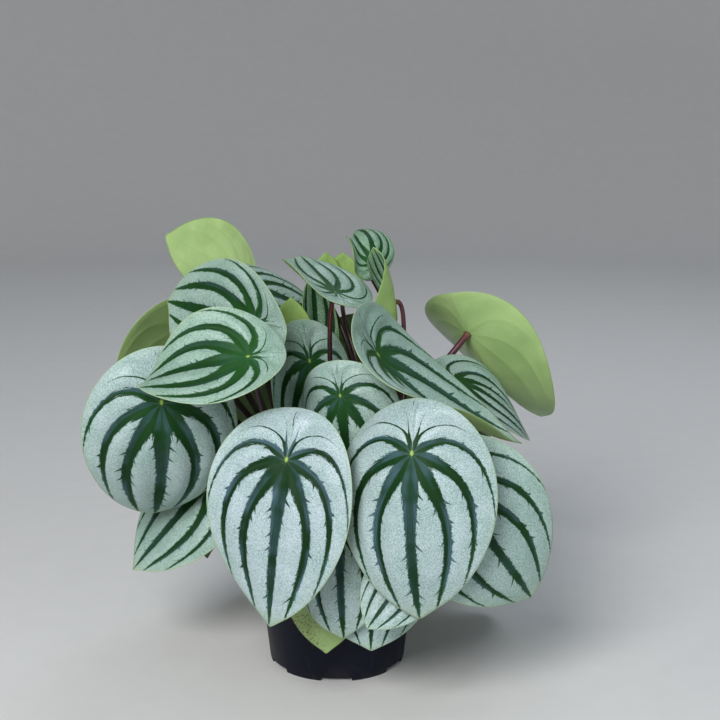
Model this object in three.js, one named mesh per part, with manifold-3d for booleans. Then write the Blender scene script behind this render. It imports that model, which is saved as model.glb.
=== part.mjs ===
// A potted peperomia: a round nursery pot filled with soil, and a full crown of
// ovate leaves on long stalks. Millimetres, +Z up. The origin is the middle of
// the pot's underside, on the surface that the pot stands on, and the side that
// the plant shows to a viewer faces -Y.
import * as THREE from 'three';
import { mergeVertices } from 'three/addons/utils/BufferGeometryUtils.js';
import Module from 'manifold-3d';

// Pot
const POT_HEIGHT = 92;
const POT_BASE_RADIUS = 38;
const POT_TOP_RADIUS = 48.5;
const POT_WALL = 1.6;
const POT_EDGE = 1.5;
const RIM_RADIUS = 52.5;
const RIM_DEPTH = 10;
const FLOOR_TOP = 4.5;
const FOOT_RECESS = 2.5;
const FOOT_DISC_RADIUS = 20;
const FOOT_RING_RADIUS = 30;
const NOTCH_COUNT = 6;
const NOTCH_WIDTH = 17;
const DRAIN_RADIUS = 3.5;
const DRAIN_CIRCLE_RADIUS = 25;
const POT_SEGMENTS = 48;

// Soil and the woody crown that the stalks grow from
const SOIL_TOP = 80;
const SOIL_GAP = 0.4;
const SOIL_SEGMENTS = 28;
const CROWN_RADIUS = 20;
const CROWN_BOTTOM = 66;
const CROWN_SEGMENTS = 20;

// Stalks
const STALK_ROOT_HEIGHT = 82;
const STALK_RADIUS_ROOT = 2.4;
const STALK_RADIUS_BLADE = 1.6;
const STALK_SIDES = 5;
const STALK_STEPS = 9;
const STALK_END = 0.85;

// Blades
const BLADE_THICKNESS = 1.0;
const JOINT_FROM_BASE = 0.245;
const TIP_POINT = 0.025;
const TIP_POINT_SPREAD = 0.22;
const BASE_FULLNESS = 0.35;
const OUTLINE_PEAK = 0.897;
const BLADE_RINGS = [0.06, 0.38, 0.72, 1];
const BLADE_SPOKES = 16;
const YOUNG_SPOKES = 14;
const LIP_START = 0.3;

// One row for each leaf:
//   name,
//   [x, y, z] of the point where the stalk joins the blade,
//   [heading, pitch, roll] in degrees: heading 0 points the tip at the viewer (-Y)
//     and 90 to the right (+X), pitch turns the tip down, roll turns the blade
//     about its middle vein,
//   [length, width],
//   [droop, cup, twist, fold, lip]: how far the tip and the sides bend down and
//     the blade twists and folds, in degrees, and how far one side's edge lifts,
//   [root bearing, root radius, rise, lean, side, reach] of the stalk,
//   [wave height, waves around the edge, phase] where the edge is wavy.
const LEAVES = [
  ['leaf_01', [-23, -94, 143], [-30, 68, -13], [111, 75], [35, 6, -5, -5, 0],
    [-120, 12, 40, 55, 10, 8], [3, 3, 124]],
  ['leaf_02', [38, -107, 150], [-12, 70, 7], [114, 84], [42, 27, 0, 5, 0],
    [-10, 16, 100, 45, -20, 25], [2.4, 2, 322]],
  ['leaf_03', [58, -91, 127], [60, 46, 57], [104, 79], [62, 8, 6, 1, 0],
    [-40, 4, 15, 30, -5, 20], [1, 3, 137]],
  ['leaf_04', [-88, -62, 164], [1, 92, -14], [117, 83], [61, 22, -5, -2, 0],
    [-160, 16, 75, 30, -40, 20], [2.2, 2, 56]],
  ['leaf_05', [-42, -82, 192], [-90, 8, -45], [77, 53], [23, -24, -9, -2, 1],
    [-180, 16, 55, 20, 40, 13], [4, 3, 184]],
  ['leaf_06', [-41, -38, 201], [-127, -3, -86], [86, 60], [5, 1, -24, -14, -10],
    [-160, 8, 95, 45, -30, 25], [1.5, 3, 335]],
  ['leaf_07', [-57, 65, 208], [-129, -20, 84], [76, 53], [8, 9, -10, -3, 0],
    [170, 16, 105, 50, -15, 20], [3, 2, 231]],
  ['leaf_08', [-91, 35, 181], [-124, 65, 15], [107, 84], [24, 5, 17, 6, 6],
    [130, 4, 65, 55, 30, 5]],
  ['leaf_09', [-50, 20, 209], [111, 15, 35], [74, 52], [26, 19, 0, 0, 0],
    [160, 4, 110, 50, -5, 10]],
  ['leaf_10', [0, -31, 215], [-154, -19, 15], [59, 51], [4, -5, 9, 0, -7],
    [-70, 16, 20, 20, -10, 20]],
  ['leaf_11', [-14, -24, 177], [23, 69, -11], [94, 59], [29, 23, 10, -5, 9],
    [-130, 4, 60, 10, 0, 15]],
  ['leaf_12', [3, -60, 167], [43, 81, 63], [74, 62], [9, 50, -2, 2, 0],
    [-30, 4, 55, 50, -25, 15]],
  ['leaf_13', [22, -50, 186], [94, 54, 19], [114, 76], [-50, -23, 24, -6, 0],
    [90, 16, 70, -45, -15, 80], [3.4, 3, 259]],
  ['leaf_14', [65, 6, 159], [86, 16, 13], [73, 66], [46, 2, 12, 1, -4],
    [-40, 2, 15, 10, 10, 8], [0.3, 3, 157]],
  ['leaf_15', [75, 43, 178], [128, 59, -12], [116, 80], [-31, -2, -25, -17, 0],
    [60, 6, 60, 45, -20, 8], [1.8, 3, 29]],
  ['leaf_16', [-66, -5, 109], [-78, 46, -32], [92, 71], [5, 12, 0, -1, -4],
    [120, 16, 15, 0, 30, 8], [1.3, 3, 173]],
  ['leaf_17', [2, -78, 105], [6, 76, 9], [84, 54], [30, 32, 0, 0, 0],
    [-110, 4, 10, 10, 5, 55], [2, 3, 287]],
  ['leaf_18', [-5, -57, 79], [181, 91, -1], [68, 46], [2, 14, 1, 0, 0],
    [-50, 10, 40, 75, -5, 10], [0.6, 2, 244]],
  ['leaf_19', [19, -69, 85], [-2, 86, -4], [68, 72], [6, 24, 0, 0, 0],
    [-80, 4, 55, 40, 15, 20], [1, 3, 202]],
  ['leaf_20', [39, -90, 85], [-57, 43, -42], [48, 38], [14, 10, 0, 0, 0],
    [-60, 2, 40, 95, 30, 13]],
  ['leaf_21', [-65, 61, 152], [-134, 55, -3], [98, 64], [25, 25, 0, 0, 0],
    [170, 16, 70, 50, -45, 20]],
  ['leaf_22', [-40, 76, 166], [-155, 50, 0], [94, 62], [25, 25, 0, 0, 0],
    [140, 4, 35, 30, -15, 8]],
  ['leaf_23', [17, 98, 147], [172, 61, -4], [96, 64], [25, 25, 0, 0, 0],
    [50, 12, 30, 30, 20, 8]],
  ['leaf_24', [56, 72, 142], [138, 52, 0], [94, 62], [25, 25, 0, 0, 0],
    [40, 4, 15, 20, 5, 8]],
  ['leaf_25', [80, 46, 124], [114, 60, 0], [92, 60], [25, 25, 0, 0, 0],
    [60, 12, 15, 20, -15, 8]],
  ['leaf_26', [-44, 102, 90], [-155, 76, 0], [84, 56], [18, 25, 0, 0, 0],
    [70, 4, 40, 45, 45, 20]],
  ['leaf_27', [8, 114, 80], [178, 78, 0], [80, 54], [18, 25, 0, 0, 0],
    [30, 4, 45, 30, 50, 25]],
  ['leaf_28', [57, 98, 90], [144, 68, 2], [84, 56], [18, 25, 0, 0, 0],
    [20, 8, 60, 25, -5, 30]],
  ['leaf_29', [86, 58, 68], [122, 72, 0], [76, 52], [18, 25, 0, 0, 0],
    [40, 12, 60, 50, -20, 40]],
  ['leaf_30', [-66, 48, 98], [-118, 66, 0], [80, 54], [20, 25, 0, 0, 0],
    [100, 4, 30, 30, 25, 10]],
  ['leaf_31', [9, 40, 180], [-176, 50, -6], [72, 49], [20, 20, 0, 0, 0],
    [80, 10, 35, 10, 0, 15]],
  ['leaf_32', [-91, -9, 148], [-94, 58, -6], [78, 54], [25, 25, 0, 0, 0],
    [150, 12, 65, 40, 15, 25]],
  ['leaf_33', [84, 8, 100], [92, 66, 0], [82, 56], [25, 25, 0, 0, 0],
    [-10, 4, 30, 45, 15, 10]],
  ['young_leaf_1', [20, 24, 222], [153, -74, 59], [43, 32], [98, -20, 37, 30, -10],
    [-10, 16, 95, 50, 35, 30]],
  ['young_leaf_2', [32, 2, 204], [121, -102, -22], [43, 39], [-21, -2, -26, -12, 12],
    [-10, 16, 10, 16, -15, 12]],
  ['young_leaf_3', [-25, 3, 172], [8, -82, -2], [46, 28], [0, 30, 0, 0, 0],
    [-150, 16, 65, 10, 5, 20]],
  ['young_leaf_4', [-11, 16, 174], [-150, -83, -4], [54, 28], [0, -75, 0, 0, 0],
    [90, 12, 75, 20, 25, 15]],
  ['young_leaf_5', [-7, 38, 203], [10, -75, 0], [32, 20], [0, 20, 0, 0, 0],
    [70, 12, 85, 5, -20, 25]],
  ['young_leaf_6', [4, 42, 202], [-7, -77, -1], [32, 24], [0, 20, 0, 0, 0],
    [100, 12, 75, -15, -35, 50]],
];

// The stalk of this leaf bends round its neighbour through a point of its own.
const NECKS = { leaf_13: [-4, 30, 60] };

const COLOURS = {
  pot: 0x171b27,
  soil: 0x2e2118,
  stems: 0x6b1f2b,
  leaf: 0x6f9a7c,
  youngLeaf: 0x8fb36a,
};

const wasm = await Module();
wasm.setup();

const degrees = THREE.MathUtils.degToRad;
const potted = new THREE.Group();

function toSolid(geometry) {
  const bare = geometry.clone();
  bare.deleteAttribute('normal');
  bare.deleteAttribute('uv');
  const merged = mergeVertices(bare, 1e-4);
  return new wasm.Manifold(new wasm.Mesh({
    numProp: 3,
    vertProperties: new Float32Array(merged.attributes.position.array),
    triVerts: new Uint32Array(merged.index.array),
  }));
}

function toGeometry(solid) {
  const mesh = solid.getMesh();
  const geometry = new THREE.BufferGeometry();
  geometry.setAttribute('position', new THREE.BufferAttribute(mesh.vertProperties, 3));
  geometry.setIndex(new THREE.BufferAttribute(mesh.triVerts, 1));
  geometry.computeVertexNormals();
  return geometry;
}

function addMesh(name, geometry, colour, roughness) {
  const material = new THREE.MeshStandardMaterial({ color: colour, roughness, metalness: 0 });
  const mesh = new THREE.Mesh(geometry, material);
  mesh.name = name;
  potted.add(mesh);
}

// A solid of revolution about Z, from [radius, height] pairs that run from the
// axis at the bottom, round the outside, to the axis at the top.
function turned(profile, segments) {
  const points = profile.map(([radius, height]) => new THREE.Vector2(radius, height));
  const geometry = new THREE.LatheGeometry(points, segments);
  geometry.rotateX(Math.PI / 2);
  return toSolid(geometry);
}

function wallRadius(height) {
  const slope = (POT_TOP_RADIUS - POT_BASE_RADIUS) / (POT_HEIGHT - POT_EDGE);
  return POT_BASE_RADIUS + slope * (height - POT_EDGE);
}

// Pot: a tapered wall with a turned-down rim, a raised ring in the floor with
// drain holes, and a foot that is cut into arcs.
const rimBottom = POT_HEIGHT - RIM_DEPTH;
let pot = turned([
  [0, 0],
  [FOOT_DISC_RADIUS, 0],
  [FOOT_DISC_RADIUS + 1, FOOT_RECESS],
  [FOOT_RING_RADIUS, FOOT_RECESS],
  [FOOT_RING_RADIUS + 1, 0],
  [POT_BASE_RADIUS - 0.5, 0],
  [POT_BASE_RADIUS, POT_EDGE],
  [wallRadius(rimBottom + 2), rimBottom + 2],
  [RIM_RADIUS - POT_WALL, rimBottom + 2],
  [RIM_RADIUS - POT_WALL, rimBottom],
  [RIM_RADIUS, rimBottom],
  [RIM_RADIUS, POT_HEIGHT - 1],
  [RIM_RADIUS - 1, POT_HEIGHT],
  [wallRadius(POT_HEIGHT) - 0.6, POT_HEIGHT],
  [wallRadius(POT_HEIGHT - 2) - POT_WALL, POT_HEIGHT - 2],
  [wallRadius(FLOOR_TOP + 1) - POT_WALL, FLOOR_TOP + 1],
  [wallRadius(FLOOR_TOP) - POT_WALL - 1, FLOOR_TOP],
  [0, FLOOR_TOP],
], POT_SEGMENTS);

for (let i = 0; i < NOTCH_COUNT; i += 1) {
  const bearing = -Math.PI / 2 + (i * 2 * Math.PI) / NOTCH_COUNT;
  const notch = new THREE.BoxGeometry(14, NOTCH_WIDTH, 2 * FOOT_RECESS);
  notch.translate(FOOT_RING_RADIUS + 6, 0, 0);
  notch.rotateZ(bearing);
  pot = pot.subtract(toSolid(notch));
  const drain = new THREE.CylinderGeometry(DRAIN_RADIUS, DRAIN_RADIUS, 3 * FLOOR_TOP, 12);
  drain.rotateX(Math.PI / 2);
  drain.translate(DRAIN_CIRCLE_RADIUS, 0, 0);
  drain.rotateZ(bearing + Math.PI / NOTCH_COUNT);
  pot = pot.subtract(toSolid(drain));
}
addMesh('pot', toGeometry(pot), COLOURS.pot, 0.55);

// Soil: fills the pot to a little below its rim, with a plain hole for the crown.
const crownHoleRadius = CROWN_RADIUS + SOIL_GAP;
const innerRadius = (height) => wallRadius(height) - POT_WALL - SOIL_GAP;
const soil = turned([
  [0, FLOOR_TOP + SOIL_GAP],
  [innerRadius(FLOOR_TOP) - 2, FLOOR_TOP + SOIL_GAP],
  [innerRadius(FLOOR_TOP + 2), FLOOR_TOP + 2],
  [innerRadius(SOIL_TOP - 1), SOIL_TOP - 1],
  [innerRadius(SOIL_TOP) - 5, SOIL_TOP + 0.3],
  [34, SOIL_TOP - 0.6],
  [27, SOIL_TOP + 0.4],
  [crownHoleRadius, SOIL_TOP],
  [crownHoleRadius, CROWN_BOTTOM - SOIL_GAP],
  [0, CROWN_BOTTOM - SOIL_GAP],
], SOIL_SEGMENTS);
addMesh('soil', toGeometry(soil), COLOURS.soil, 0.95);

// The blade's own directions at its joint: along to the tip, out of its upper
// face, and across.
function bladeAxes([heading, pitch, roll]) {
  const h = degrees(heading);
  const p = degrees(pitch);
  const r = degrees(roll);
  const along = new THREE.Vector3(Math.cos(p) * Math.sin(h), -Math.cos(p) * Math.cos(h), -Math.sin(p));
  const flat = new THREE.Vector3(Math.sin(p) * Math.sin(h), -Math.sin(p) * Math.cos(h), Math.cos(p));
  const side = new THREE.Vector3().crossVectors(along, flat);
  const up = flat.clone().multiplyScalar(Math.cos(r)).addScaledVector(side, Math.sin(r));
  const across = side.clone().multiplyScalar(Math.cos(r)).addScaledVector(flat, -Math.sin(r));
  return { along, up, across };
}

function notZero(value) {
  return Math.abs(value) < 1e-6 ? 1e-6 : value;
}

// The point of a blade's middle surface at a share of the way from the joint to
// the edge (ring) and an angle round the outline (turn, 0 at the tip).
function bladePoint(leaf, ring, turn) {
  const [, joint, facing, [length, width], [droop, cup, twist, fold, lip], , wave] = leaf;
  const { along, up, across } = bladeAxes(facing);
  const point = TIP_POINT * Math.exp(-((turn / TIP_POINT_SPREAD) ** 2));
  const v = ring * length * (0.5 - JOINT_FROM_BASE + Math.cos(turn) / 2 + point);
  const round = Math.sin(turn) * Math.abs(Math.sin(turn / 2)) ** BASE_FULLNESS;
  const u = (ring * (width / 2) * round) / OUTLINE_PEAK;

  const tipLength = length * (1 - JOINT_FROM_BASE);
  const bend = notZero(degrees(droop)) / tipLength;
  const curl = notZero(degrees(cup)) / (width / 2);
  const angle = bend * v;
  const turnHere = (degrees(twist) * v) / tipLength;
  const upHere = along.clone().multiplyScalar(Math.sin(angle)).addScaledVector(up, Math.cos(angle));
  const acrossHere = across.clone().multiplyScalar(Math.cos(turnHere))
    .addScaledVector(upHere, Math.sin(turnHere));
  const liftHere = across.clone().multiplyScalar(-Math.sin(turnHere))
    .addScaledVector(upHere, Math.cos(turnHere));

  const sideways = Math.sin(curl * u) / curl;
  let lift = -(1 - Math.cos(curl * u)) / curl;
  lift -= Math.tan(degrees(fold)) * (Math.sqrt(u * u + 9) - 3);
  const edge = ((Math.sign(lip) * u) / (width / 2) - LIP_START) / (1 - LIP_START);
  lift += Math.abs(lip) * THREE.MathUtils.clamp(edge, 0, 1.2) ** 2;
  if (wave) {
    lift += wave[0] * ring ** 3 * Math.sin(wave[1] * turn + degrees(wave[2]));
  }
  return new THREE.Vector3(...joint)
    .addScaledVector(along, Math.sin(angle) / bend)
    .addScaledVector(up, -(1 - Math.cos(angle)) / bend)
    .addScaledVector(acrossHere, sideways)
    .addScaledVector(liftHere, lift);
}

// The upper face's direction at a point of the blade.
function bladeNormal(leaf, ring, turn) {
  const step = 1e-3;
  const here = bladePoint(leaf, ring, turn);
  const outward = bladePoint(leaf, ring * (1 + step), turn).sub(here);
  const onward = bladePoint(leaf, ring, turn + step).sub(here);
  return new THREE.Vector3().crossVectors(onward, outward).normalize();
}

// A blade is a closed shell: an upper and a lower face with the same triangles,
// half the thickness to each side of the middle surface, and a strip at the edge.
function bladeGeometry(leaf, spokes) {
  const { up } = bladeAxes(leaf[2]);
  const joint = new THREE.Vector3(...leaf[1]);
  const half = BLADE_THICKNESS / 2;
  const rings = BLADE_RINGS.length;
  const points = [joint.clone().addScaledVector(up, half), joint.clone().addScaledVector(up, -half)];
  const side = Math.sign(bladeNormal(leaf, BLADE_RINGS[0], 1).dot(up));
  for (const offset of [half, -half]) {
    for (const ring of BLADE_RINGS) {
      for (let j = 0; j < spokes; j += 1) {
        const turn = -Math.PI + (j * 2 * Math.PI) / spokes;
        const normal = bladeNormal(leaf, ring, turn).multiplyScalar(side);
        points.push(bladePoint(leaf, ring, turn).addScaledVector(normal, offset));
      }
    }
  }
  const top = (k, j) => 2 + k * spokes + (j % spokes);
  const under = (k, j) => top(k, j) + rings * spokes;
  const faces = [];
  for (let j = 0; j < spokes; j += 1) {
    faces.push([0, top(0, j), top(0, j + 1)]);
    faces.push([1, under(0, j + 1), under(0, j)]);
    for (let k = 0; k < rings - 1; k += 1) {
      faces.push([top(k, j), top(k + 1, j), top(k + 1, j + 1)]);
      faces.push([top(k, j), top(k + 1, j + 1), top(k, j + 1)]);
      faces.push([under(k, j), under(k + 1, j + 1), under(k + 1, j)]);
      faces.push([under(k, j), under(k, j + 1), under(k + 1, j + 1)]);
    }
    faces.push([top(rings - 1, j), under(rings - 1, j), under(rings - 1, j + 1)]);
    faces.push([top(rings - 1, j), under(rings - 1, j + 1), top(rings - 1, j + 1)]);
  }
  return closedGeometry(points, faces);
}

// A geometry from points and triangles, with the triangles turned to face out.
function closedGeometry(points, faces) {
  let volume = 0;
  for (const [a, b, c] of faces) {
    volume += points[a].dot(new THREE.Vector3().crossVectors(points[b], points[c]));
  }
  const outward = volume > 0 ? faces : faces.map(([a, b, c]) => [a, c, b]);
  const geometry = new THREE.BufferGeometry();
  geometry.setAttribute('position', new THREE.Float32BufferAttribute(points.flatMap((p) => p.toArray()), 3));
  geometry.setIndex(outward.flat());
  geometry.computeVertexNormals();
  return geometry;
}

// A stalk rises from the crown and turns to meet the underside of its blade.
function stalkCurve(leaf) {
  const [name, joint, facing, , , [bearing, radius, rise, lean, side, reach]] = leaf;
  const { up } = bladeAxes(facing);
  const out = new THREE.Vector3(Math.cos(degrees(bearing)), Math.sin(degrees(bearing)), 0);
  const round = new THREE.Vector3(-out.y, out.x, 0);
  const root = out.clone().multiplyScalar(radius).setZ(STALK_ROOT_HEIGHT);
  const shoulder = root.clone().addScaledVector(out, lean).addScaledVector(round, side);
  shoulder.z += rise;
  const end = new THREE.Vector3(...joint).addScaledVector(up, -STALK_END);
  const neck = NECKS[name] ? new THREE.Vector3(...NECKS[name]) : end.clone().addScaledVector(up, -reach);
  return new THREE.CubicBezierCurve3(root, shoulder, neck, end);
}

// A round bar that narrows from the crown to the blade.
function stalkSolid(leaf) {
  const curve = stalkCurve(leaf);
  const points = [];
  const across = new THREE.Vector3(1, 0, 0);
  for (let i = 0; i <= STALK_STEPS; i += 1) {
    const share = i / STALK_STEPS;
    const along = i === STALK_STEPS ? bladeAxes(leaf[2]).up : curve.getTangent(share);
    across.addScaledVector(along, -across.dot(along)).normalize();
    const third = new THREE.Vector3().crossVectors(along, across);
    const radius = THREE.MathUtils.lerp(STALK_RADIUS_ROOT, STALK_RADIUS_BLADE, share);
    for (let k = 0; k < STALK_SIDES; k += 1) {
      const angle = (k * 2 * Math.PI) / STALK_SIDES;
      points.push(curve.getPoint(share)
        .addScaledVector(across, radius * Math.cos(angle))
        .addScaledVector(third, radius * Math.sin(angle)));
    }
  }
  points.push(curve.getPoint(0), curve.getPoint(1));
  const last = STALK_STEPS * STALK_SIDES;
  const faces = [];
  for (let k = 0; k < STALK_SIDES; k += 1) {
    const next = (k + 1) % STALK_SIDES;
    for (let i = 0; i < STALK_STEPS; i += 1) {
      const row = i * STALK_SIDES;
      faces.push([row + k, row + next, row + STALK_SIDES + next]);
      faces.push([row + k, row + STALK_SIDES + next, row + STALK_SIDES + k]);
    }
    faces.push([points.length - 2, next, k]);
    faces.push([points.length - 1, last + k, last + next]);
  }
  return toSolid(closedGeometry(points, faces));
}

// Crown and stalks, grown together into one piece.
let stems = turned([
  [0, CROWN_BOTTOM],
  [CROWN_RADIUS - 3, CROWN_BOTTOM],
  [CROWN_RADIUS, CROWN_BOTTOM + 4],
  [CROWN_RADIUS, SOIL_TOP + 1],
  [CROWN_RADIUS - 3, SOIL_TOP + 4],
  [CROWN_RADIUS - 10, SOIL_TOP + 7],
  [0, SOIL_TOP + 8],
], CROWN_SEGMENTS);
for (const leaf of LEAVES) {
  stems = stems.add(stalkSolid(leaf));
}
addMesh('stems', toGeometry(stems), COLOURS.stems, 0.45);

for (const leaf of LEAVES) {
  const young = leaf[0].startsWith('young');
  const geometry = bladeGeometry(leaf, young ? YOUNG_SPOKES : BLADE_SPOKES);
  addMesh(leaf[0], geometry, young ? COLOURS.youngLeaf : COLOURS.leaf, 0.45);
}

export default potted;
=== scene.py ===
"""A potted peperomia, dressed for rendering.

The frame brings the solids: a pot, its soil, the stems and one blade for each
leaf. Here every blade gets its veins, bands and edge, the stalks their skin,
the pot its moulded rim and the soil its crumbs. Lengths are in millimetres
until a mesh is made, and -Y faces the viewer.
"""
import math
from types import SimpleNamespace

import bpy
import bmesh
import numpy as np
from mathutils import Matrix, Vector, noise


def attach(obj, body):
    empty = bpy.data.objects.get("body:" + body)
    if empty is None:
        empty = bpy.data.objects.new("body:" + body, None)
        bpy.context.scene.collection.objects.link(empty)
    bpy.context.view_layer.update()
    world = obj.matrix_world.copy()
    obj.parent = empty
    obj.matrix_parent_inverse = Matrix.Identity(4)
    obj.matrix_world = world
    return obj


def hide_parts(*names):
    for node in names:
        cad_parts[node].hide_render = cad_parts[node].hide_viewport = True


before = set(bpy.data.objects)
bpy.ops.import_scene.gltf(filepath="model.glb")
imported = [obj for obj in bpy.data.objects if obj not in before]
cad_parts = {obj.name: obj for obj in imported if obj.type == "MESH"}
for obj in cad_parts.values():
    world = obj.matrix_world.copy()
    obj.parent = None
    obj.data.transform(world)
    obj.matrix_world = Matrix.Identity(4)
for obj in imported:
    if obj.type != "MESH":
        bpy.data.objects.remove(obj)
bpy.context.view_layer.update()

MM = 0.001

# Camera, as the photograph was taken
CAMERA_PLACE = (0.013, -0.802, 0.35)
CAMERA_DIP = 12.5
LENS = 75
SENSOR = 36

# Studio, in metres
BOWL_RADIUS = 1.5
BOWL_BEND = 0.9
BOWL_HEIGHT = 2.4
FLAT_RADIUS = 0.3
SKY_TINT = (0.72, 0.82, 1.0, 1)
SKY_STRENGTH = 0.16
AIM_HEIGHT = 0.13

# Lamps: name, place, width of the disc, power and tint
LAMPS = (
    ("key", (-0.4, -1.2, 0.95), 0.7, 21, (0.98, 0.99, 1.0)),
    ("fill", (1.1, -0.9, 0.5), 0.8, 3, (0.72, 0.85, 1.0)),
    ("back", (0.35, 0.8, 1.25), 0.8, 4, (0.8, 0.9, 1.0)),
)

# Pot
POT_HEIGHT = 92
POT_BASE_RADIUS = 38
POT_TOP_RADIUS = 48.5
POT_WALL = 1.6
POT_EDGE = 1.5
RIM_RADIUS = 52.5
RIM_DEPTH = 10
FLOOR_TOP = 4.5
FOOT_RECESS = 2.5
FOOT_DISC_RADIUS = 20
FOOT_RING_RADIUS = 30
NOTCH_COUNT = 6
NOTCH_WIDTH = 17
DRAIN_RADIUS = 3.5
DRAIN_CIRCLE_RADIUS = 25
POT_SEGMENTS = 144
POT_ROUNDING = 0.35 * MM

# Soil and the crown that the stalks grow from
SOIL_TOP = 80
SOIL_GAP = 0.4
CROWN_RADIUS = 20
CROWN_BOTTOM = 66
CROWN_TOP = 88
SOIL_SEGMENTS = 128
CROWN_SEGMENTS = 72

# Crumbs on the soil: how many to a square metre, and their sizes
CRUMB_DENSITY = 1500 / 0.0052
CRUMB_SMALLEST = 0.35
CRUMB_LARGEST = 1.5
CRUMB_SEED = 7
CRUMB_ROUGHNESS = 1.6 * MM

# Stalks. Blades as long as STALK_FULL_AT, or longer, have them in full thickness
STALK_FULL_AT = 90
STALK_LEAST_SIZE = 0.7
STALK_ROOT_HEIGHT = 82
STALK_RADIUS_ROOT = 2.4
STALK_RADIUS_BLADE = 1.6
STALK_SIDES = 14
STALK_STEPS = 34
STALK_END = 0.85
STALK_LAST_STEP = 0.5
STALK_FLARE = 0.9
STALK_FLARE_LENGTH = 1.6
ROOT_FLARE = 0.7
ROOT_FLARE_LENGTH = 3

# Blades: their outline
JOINT_FROM_BASE = 0.245
TIP_POINT = 0.025
TIP_POINT_SPREAD = 0.22
BASE_FULLNESS = 0.35
OUTLINE_PEAK = 0.897
LIP_START = 0.3

# Blades: their body. Veins are numbered 0 for the middle one to 4 for the last
# pair, which runs to the base. VEIN_BEARINGS are the directions in which they
# leave the joint, in degrees from the tip, and the last entry is the base.
BLADE_THICKNESS = 0.8
EDGE_THICKNESS = 0.35
EDGE_REACH = 0.06
VEIN_BEARINGS = (0, 33, 73, 121, 165, 181)
VEIN_NUMBERS = (0, 1, 2, 3, 4, 4.6)
VEIN_DEPTH = (0.55, 0.45, 0.4, 0.3, 0.18, 0)
VEIN_BEND = 78
VEIN_GROOVE = 1.5
BAND_SWELL = 1.15
STANDARD_LENGTH = 105
SHOWN_GRID = (40, 76)
HIDDEN_GRID = (26, 50)
SHOWN_COUNT = 20

# How far one leaf's or stalk's pattern is from the next one's
LEAF_SEED_STEP = 2.9
STALK_SEED_STEP = 3.7

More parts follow.
